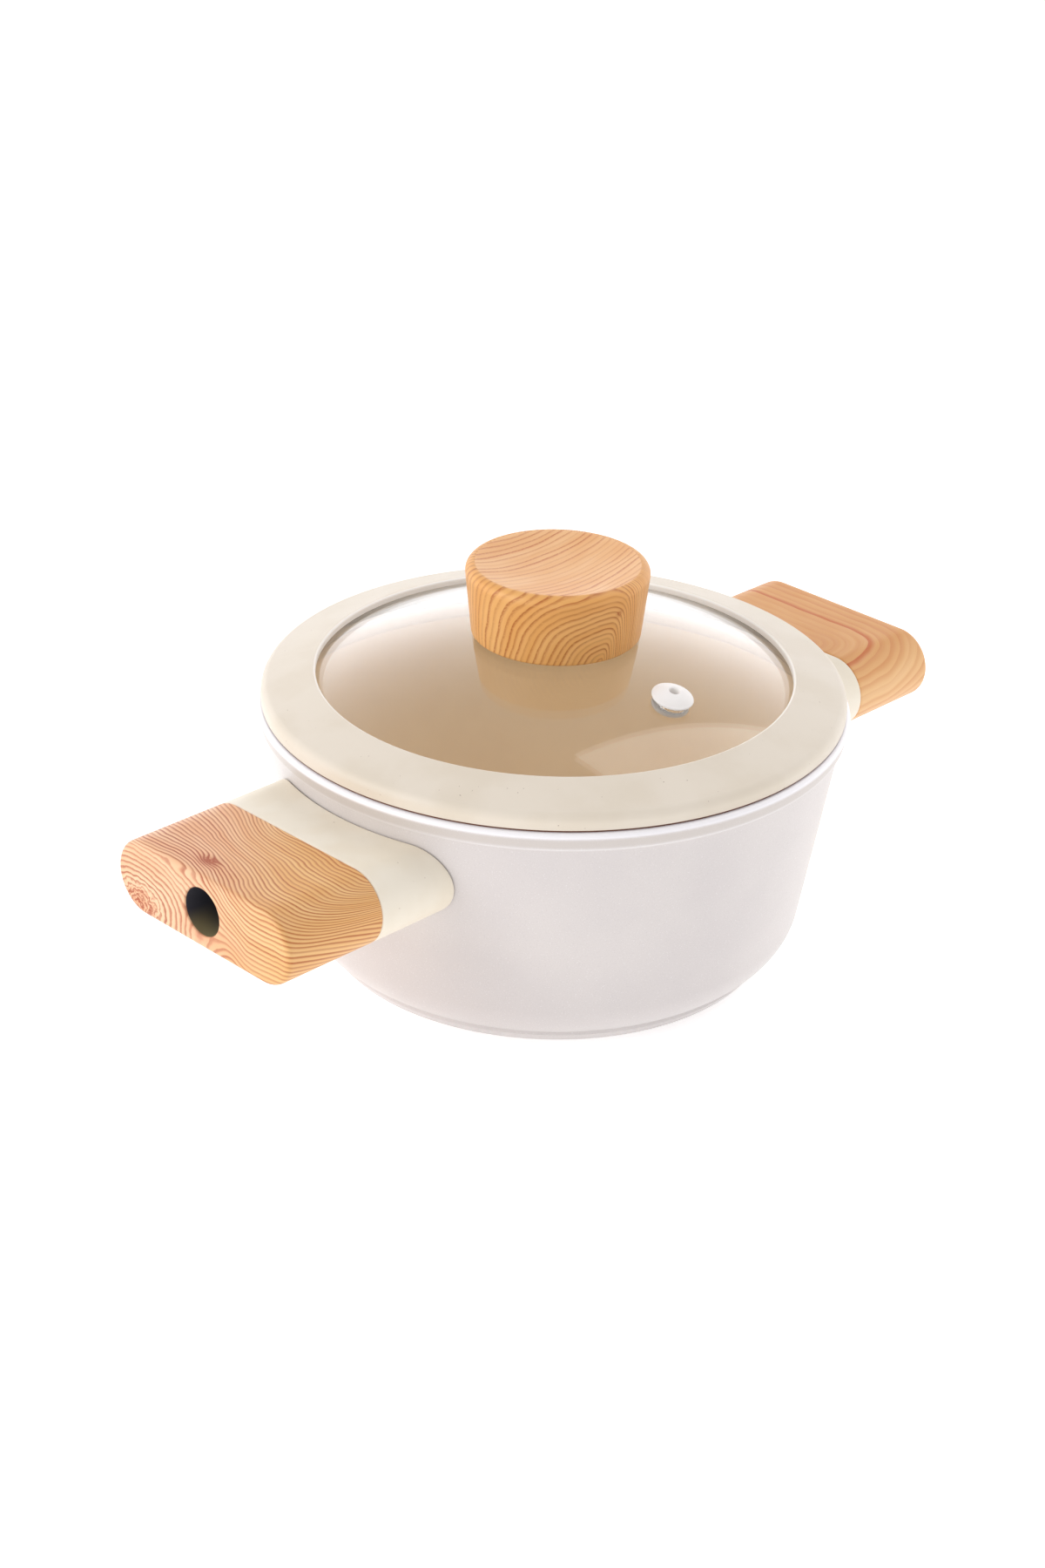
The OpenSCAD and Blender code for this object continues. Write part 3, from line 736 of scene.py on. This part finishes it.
def make_glass(material):
    """Domed glass with a ground edge, a middle hole and a vent hole."""
    hole, n, ground, chamfer, drill_r = 5.0, 60, 0.5, 0.15, 4.1
    radii = [hole + (GLASS_R - 0.6 - hole) * i / n for i in range(n + 1)]
    top = [(r, glass_z(r)) for r in radii]
    bottom = [(r, glass_z(r, GLASS_T)) for r in reversed(radii)]
    edge_top, edge_low = glass_z(GLASS_R) - ground, glass_z(GLASS_R, GLASS_T) + ground
    profile = top + [(GLASS_R - chamfer, edge_top + 2 * chamfer), (GLASS_R, edge_top), (GLASS_R, edge_low),
                     (GLASS_R - chamfer, edge_low - 2 * chamfer)] + bottom
    glass = lathe("glass_dome", profile, 256, materials=(material,))

    # vent hole, drilled square to the dome
    tilt = math.asin(VENT_AT / DOME_R)
    bpy.ops.mesh.primitive_cylinder_add(vertices=64, radius=drill_r * MM, depth=16 * MM)
    drill = bpy.context.object
    drill.location = (0, -VENT_AT * MM, (glass_z(VENT_AT) - GLASS_T / 2) * MM)
    drill.rotation_euler = (tilt, 0, 0)
    cut = glass.modifiers.new("vent_hole", "BOOLEAN")
    cut.object, cut.operation, cut.solver = drill, "DIFFERENCE", "EXACT"
    bpy.context.view_layer.update()
    depsgraph = bpy.context.evaluated_depsgraph_get()
    drilled = bpy.data.meshes.new_from_object(glass.evaluated_get(depsgraph))
    glass.modifiers.clear()
    glass.data = drilled
    bpy.data.objects.remove(drill)

    # true sphere normals, so that reflections run without facets
    centre = Vector((0, 0, DOME_Z * MM))
    drilled.polygons.foreach_set("use_smooth", [True] * len(drilled.polygons))
    normals = []
    for face in drilled.polygons:
        away = (face.center - centre).normalized()
        facing = face.normal.dot(away)
        for corner in face.loop_indices:
            point = drilled.vertices[drilled.loops[corner].vertex_index].co
            radial = (point - centre).normalized()
            normals.append(radial if facing > 0.98 else -radial if facing < -0.98 else face.normal.copy())
    drilled.normals_split_custom_set(normals)
    return attach(glass, "lid", "lid_glass", "lid_glass")


def make_vent(material):
    """Mushroom grommet: domed head with a hole, stem through the glass, flange below."""
    head, hole, stem, flange = VENT_HEAD_R, VENT_HOLE_R, 4.0, 5.2
    lip, dome = 0.9, 1.9
    ball = ((head - 0.4) ** 2 + dome ** 2) / (2 * dome)
    n = 14
    radii = [hole + 0.35 + (head - 0.75 - hole) * i / n for i in range(n + 1)]
    cap = [(r, lip + dome - ball + math.sqrt(ball ** 2 - r * r)) for r in radii]
    low = -GLASS_T - 0.05
    hole_top = cap[0][1]
    profile = supported(
        arc(head - 0.4, lip / 2 + 0.02, 0.42, -80, 60, 8) + cap[::-1]
        + [(hole + 0.1, hole_top - 0.12), (hole, hole_top - 0.4), (hole, low - 1.0), (hole + 0.3, low - 1.2)]
        + arc(flange - 0.5, low - 0.6, 0.55, -90, 80, 8)
        + [(stem, low), (stem, 0.03)], reach=0.15)
    vent = lathe("vent_grommet", profile, 72, materials=(material,))
    tilt = math.asin(VENT_AT / DOME_R)
    place = Matrix.Translation((0, -VENT_AT * MM, glass_z(VENT_AT) * MM)) @ Matrix.Rotation(tilt, 4, "X")
    vent.data.transform(place)
    return attach(vent, "lid", "vent_silicone", "steam_vent")


def make_knob(material):
    """Tapered knob with a dished top, rounded lip and foot, and a hollow underside."""
    side_top, foot_r, boss_r, hollow_h = KNOB_H - KNOB_EDGE, 0.9, 8, 4.5
    lean = math.degrees(math.atan((KNOB_TOP_R - KNOB_FOOT_R) / side_top))
    dish_r, n = KNOB_TOP_R - KNOB_EDGE, 24
    ball = (dish_r ** 2 + DISH_DEPTH ** 2) / (2 * DISH_DEPTH)
    dish = [(r, KNOB_H - DISH_DEPTH + ball - math.sqrt(ball ** 2 - r * r))
            for r in (dish_r * (1 - i / n) for i in range(n + 1))]
    blend = arc(dish_r, KNOB_H - KNOB_EDGE, KNOB_EDGE, -lean, 84, 18)
    profile = supported(
        [(boss_r, 0.4), (boss_r, hollow_h), (HOLLOW_R, hollow_h), (HOLLOW_R, 0), (KNOB_FOOT_R - 0.7, 0)]
        + arc(KNOB_FOOT_R - foot_r, foot_r, foot_r, -80, -lean, 6)
        + blend + dish[1:], 0.4)
    profile = [(r, z + KNOB_Z) for r, z in profile]
    knob = lathe("knob_body", profile, 256, materials=(material,), closed=False)
    return attach(knob, "lid", "knob_wood", "lid_knob")


# ---- Scene ----

def make_camera():
    """Camera at the photo's angle; angles in degrees, lens in millimetres, the rest in metres."""
    azimuth, elevation, roll = (math.radians(v) for v in (-45.784, 27.256, 1.633))
    distance, lens, aim_height, aim_left = 0.8643, 68.94, 0.04575, 0.00814
    forward = -Vector((math.sin(azimuth) * math.cos(elevation), -math.cos(azimuth) * math.cos(elevation),
                       math.sin(elevation)))
    right = forward.cross(Vector((0, 0, 1))).normalized()
    up = right.cross(forward)
    aim = Vector((0, 0, aim_height)) - right * aim_left
    across = right * math.cos(roll) + up * math.sin(roll)
    upward = up * math.cos(roll) - right * math.sin(roll)
    data = bpy.data.cameras.new("camera")
    data.lens, data.sensor_width, data.clip_end = lens, 36, 50
    camera = bpy.data.objects.new("camera", data)
    place = Matrix((across, upward, -forward)).transposed().to_4x4()
    place.translation = aim - forward * distance
    camera.matrix_world = place
    bpy.context.scene.collection.objects.link(camera)
    bpy.context.scene.camera = camera


def area_light(name, place, aim, size, power):
    """Soft box that the camera doesn't see; metres and watts."""
    data = bpy.data.lights.new(name, "AREA")
    data.shape, data.size, data.size_y = "RECTANGLE", size[0], size[1]
    data.energy = power
    light = bpy.data.objects.new(name, data)
    light.location = place
    light.rotation_euler = (Vector(aim) - Vector(place)).to_track_quat("-Z", "Y").to_euler()
    light.visible_camera = False
    bpy.context.scene.collection.objects.link(light)


def make_studio():
    """White floor, a surround that dims overhead and towards the camera, and two soft boxes."""
    g = Graph("floor_paper")
    cloud = g.noise(g.place, 0.004, 2)
    g.set(Base_Color=g.mix(cloud, (0.93, 0.93, 0.93, 1), (0.96, 0.96, 0.96, 1)), Roughness=0.9,
          Emission_Color=(1, 1, 1, 1), Emission_Strength=0.4, Specular_IOR_Level=0.1)
    steps, reach = 96, 9.0
    mesh = bpy.data.meshes.new("floor")
    rings = [[(r * math.cos(2 * math.pi * i / steps), r * math.sin(2 * math.pi * i / steps), 0)
              for i in range(steps)] for r in (0.0, 0.3, 1.0, 3.0, reach)]
    verts = [p for ring in rings for p in ring]
    faces = [(k * steps + i, k * steps + (i + 1) % steps,
              (k + 1) * steps + (i + 1) % steps, (k + 1) * steps + i)
             for k in range(len(rings) - 1) for i in range(steps)]
    mesh.from_pydata(verts, [], faces)
    mesh.materials.append(g.material)
    finish_mesh("floor", mesh)

    world = bpy.data.worlds.new("studio")
    bpy.context.scene.world = world
    world.use_nodes = True
    tree = world.node_tree
    background = tree.nodes["Background"]
    direction = tree.nodes.new("ShaderNodeTexCoord").outputs["Generated"]

    def spread(socket, low, high, to_low, to_high):
        node = tree.nodes.new("ShaderNodeMapRange")
        node.interpolation_type = "SMOOTHSTEP"
        for key, value in (("From Min", low), ("From Max", high), ("To Min", to_low), ("To Max", to_high)):
            node.inputs[key].default_value = value
        tree.links.new(socket, node.inputs["Value"])
        return node.outputs[0]

    def join(operation, a, b):
        node = tree.nodes.new("ShaderNodeMath")
        node.operation = operation
        for socket, value in zip(node.inputs, (a, b)):
            if isinstance(value, float):
                socket.default_value = value
            else:
                tree.links.new(value, socket)
        return node.outputs[0]

    split = tree.nodes.new("ShaderNodeSeparateXYZ")
    tree.links.new(direction, split.inputs[0])
    height = split.outputs[2]
    behind = tree.nodes.new("ShaderNodeVectorMath")
    behind.operation = "DOT_PRODUCT"
    behind.inputs[1].default_value = (0.62, 0.785, 0.0)
    tree.links.new(direction, behind.inputs[0])
    rays = tree.nodes.new("ShaderNodeLightPath").outputs

    # a soft fill as light, a stronger glow at the horizon in reflections, and plain white seen directly
    fill = join("MULTIPLY", spread(height, 0.30, 0.85, 1.0, 0.62),
                spread(behind.outputs["Value"], -0.9, 0.5, 0.68, 1.08))
    glow = join("MULTIPLY", join("MULTIPLY", spread(height, 0.30, 0.85, 1.0, 0.36),
                                 spread(height, 0.14, 0.5, 1.25, 1.0)),
                spread(behind.outputs["Value"], -0.9, 0.5, 0.5, 1.55))
    more = join("MULTIPLY", join("SUBTRACT", glow, fill), rays["Is Glossy Ray"])
    white = join("MULTIPLY", join("SUBTRACT", 1.05, fill), rays["Is Camera Ray"])
    tree.links.new(join("ADD", join("ADD", fill, more), white), background.inputs["Strength"])
    background.inputs["Color"].default_value = (1.0, 0.985, 1.005, 1)

    area_light("right_box", (0.95, -0.33, 1.05), (0.95, -0.33, 0.0), (1.3, 1.05), 5.0)
    area_light("left_box", (-1.2, 0.45, 0.7), (0, 0, 0.06), (0.9, 0.9), 7.5)

    view = bpy.context.scene.view_settings
    view.view_transform = "Standard"
    view.look = "None"


make_camera()
coat, enamel = pearl_coating(), cream_enamel()
# the ring's seat line is painted dark as the gap's shadow, and its inner lip is painted paler with a glow,
# as painted light
ring_silicone = silicone("ring_silicone", rgb(231, 221, 205), rgb(226, 215, 197), 0.42,
                         seat_z=PAN_H, lip_r=GLASS_IN_R, glow=0.16)
# painted light: the vent's faint glow lightens the parts that sit in and below the glass
vent_silicone = silicone("vent_silicone", rgb(246, 243, 240), rgb(240, 236, 232), 0.4, glow=0.05)
seal_silicone = silicone("seal_silicone", rgb(226, 216, 202), rgb(214, 203, 186), 0.45)
neck = neck_plastic()
hole_dark = hole_sleeve()
steel = metal("fastener_steel", (0.55, 0.55, 0.56, 1), 0.3)
plate_steel = metal("plate_steel", (0.5, 0.5, 0.5, 1), 0.36)
brass = metal("insert_brass", (0.75, 0.55, 0.25, 1), 0.34)

make_pan(coat, enamel)
for side, grain in ((-1, left_grip_wood()), (1, right_grip_wood())):
    make_neck(side, neck)
    make_grip(side, grain, hole_dark)
make_ring(ring_silicone)
make_glass(clear_glass())
make_vent(vent_silicone)
make_knob(knob_wood())

CARRIED = {
    "base_plate": plate_steel, "knob_screw": steel, "knob_washer": steel, "knob_insert": brass,
    "knob_upper_seal": seal_silicone, "knob_lower_seal": seal_silicone,
}
for hand in ("left", "right"):
    CARRIED[hand + "_handle_screw"] = steel
    CARRIED[hand + "_handle_washer"] = steel
    CARRIED[hand + "_handle_insert"] = brass
for node, material in CARRIED.items():
    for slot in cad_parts[node].material_slots:
        slot.material = material

make_studio()
